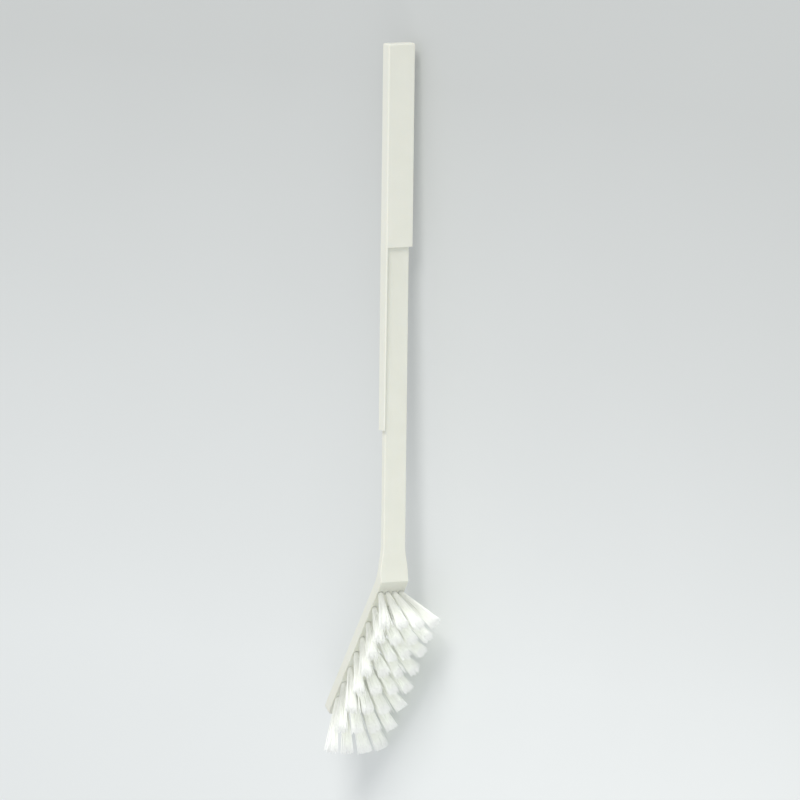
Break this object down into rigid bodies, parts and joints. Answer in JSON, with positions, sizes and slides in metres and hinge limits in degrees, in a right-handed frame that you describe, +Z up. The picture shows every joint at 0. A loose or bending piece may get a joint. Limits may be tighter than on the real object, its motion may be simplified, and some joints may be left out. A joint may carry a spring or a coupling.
{
  "type": "long-handled angled brush",
  "caption": "Slender plastic brush with a thick grip sleeve, a springy side clip arm, a head plate tilted back from the handle, and rows of stiff flat-cut nylon tufts.",
  "frame": {"origin": "centre of the grip sleeve's closed top face", "axes": "+Z up along the handle towards the grip end, -Y out of the front face on the side the bristles face, +X to the right seen from the front"},
  "size_m": [0.0388, 0.0804, 0.3848],
  "materials": {
    "handle_plastic": "satin, warm white moulded polypropylene",
    "grip_plastic": "satin, warm white moulded polypropylene",
    "tuft_nylon": "clear to milky nylon filaments, flat cut",
    "anchor_wire": "plain drawn wire"
  },
  "bodies": {
    "handle": {"handle_body": "handle_plastic", "grip_sleeve": "grip_plastic", "anchor_wires": "anchor_wire", "tuft_roots_1": "tuft_nylon", "tuft_roots_2": "tuft_nylon", "tuft_roots_3": "tuft_nylon", "tuft_roots_4": "tuft_nylon", "tuft_roots_5": "tuft_nylon", "tuft_roots_6": "tuft_nylon", "tuft_roots_7": "tuft_nylon", "tuft_roots_8": "tuft_nylon"},
    "arm": {"clip_arm": "grip_plastic"},
    "row_1": {"tuft_1a": "tuft_nylon", "tuft_1b": "tuft_nylon", "tuft_1c": "tuft_nylon", "tuft_1d": "tuft_nylon"},
    "row_2": {"tuft_2a": "tuft_nylon", "tuft_2b": "tuft_nylon", "tuft_2c": "tuft_nylon", "tuft_2d": "tuft_nylon"},
    "row_3": {"tuft_3a": "tuft_nylon", "tuft_3b": "tuft_nylon", "tuft_3c": "tuft_nylon", "tuft_3d": "tuft_nylon"},
    "row_4": {"tuft_4a": "tuft_nylon", "tuft_4b": "tuft_nylon", "tuft_4c": "tuft_nylon", "tuft_4d": "tuft_nylon"},
    "row_5": {"tuft_5a": "tuft_nylon", "tuft_5b": "tuft_nylon", "tuft_5c": "tuft_nylon", "tuft_5d": "tuft_nylon"},
    "row_6": {"tuft_6a": "tuft_nylon", "tuft_6b": "tuft_nylon", "tuft_6c": "tuft_nylon", "tuft_6d": "tuft_nylon"},
    "row_7": {"tuft_7a": "tuft_nylon", "tuft_7b": "tuft_nylon", "tuft_7c": "tuft_nylon", "tuft_7d": "tuft_nylon"},
    "row_8": {"tuft_8a": "tuft_nylon", "tuft_8b": "tuft_nylon", "tuft_8c": "tuft_nylon", "tuft_8d": "tuft_nylon"}
  },
  "joints": [
    {"name": "arm_flex", "type": "hinge", "parent": "handle", "child": "arm", "pos_m": [-0.0081, 0, -0.109], "axis": [0, 1, 0], "range_deg": [0, 3], "stiffness_Nm_per_rad": 0.03},
    {"name": "row_1_bend", "type": "hinge", "parent": "handle", "child": "row_1", "pos_m": [0, 0.00028, -0.2957], "axis": [1, 0, 0], "range_deg": [-15, 15], "stiffness_Nm_per_rad": 0.038},
    {"name": "row_2_bend", "type": "hinge", "parent": "handle", "child": "row_2", "pos_m": [0, 0.00657, -0.30437], "axis": [1, 0, 0], "range_deg": [-15, 15], "stiffness_Nm_per_rad": 0.038},
    {"name": "row_3_bend", "type": "hinge", "parent": "handle", "child": "row_3", "pos_m": [0, 0.01289, -0.31306], "axis": [1, 0, 0], "range_deg": [-15, 15], "stiffness_Nm_per_rad": 0.038},
    {"name": "row_4_bend", "type": "hinge", "parent": "handle", "child": "row_4", "pos_m": [0, 0.01924, -0.32179], "axis": [1, 0, 0], "range_deg": [-15, 15], "stiffness_Nm_per_rad": 0.038},
    {"name": "row_5_bend", "type": "hinge", "parent": "handle", "child": "row_5", "pos_m": [0, 0.02564, -0.33058], "axis": [1, 0, 0], "range_deg": [-15, 15], "stiffness_Nm_per_rad": 0.038},
    {"name": "row_6_bend", "type": "hinge", "parent": "handle", "child": "row_6", "pos_m": [0, 0.03211, -0.33942], "axis": [1, 0, 0], "range_deg": [-15, 15], "stiffness_Nm_per_rad": 0.038},
    {"name": "row_7_bend", "type": "hinge", "parent": "handle", "child": "row_7", "pos_m": [0, 0.03868, -0.34828], "axis": [1, 0, 0], "range_deg": [-15, 15], "stiffness_Nm_per_rad": 0.038},
    {"name": "row_8_bend", "type": "hinge", "parent": "handle", "child": "row_8", "pos_m": [0, 0.04537, -0.35713], "axis": [1, 0, 0], "range_deg": [-15, 15], "stiffness_Nm_per_rad": 0.038}
  ],
  "couplings": [
    {"joint": "row_2_bend", "follows": "row_1_bend", "ratio": 1},
    {"joint": "row_3_bend", "follows": "row_1_bend", "ratio": 1},
    {"joint": "row_4_bend", "follows": "row_1_bend", "ratio": 1},
    {"joint": "row_5_bend", "follows": "row_1_bend", "ratio": 1},
    {"joint": "row_6_bend", "follows": "row_1_bend", "ratio": 1},
    {"joint": "row_7_bend", "follows": "row_1_bend", "ratio": 1},
    {"joint": "row_8_bend", "follows": "row_1_bend", "ratio": 1}
  ]
}
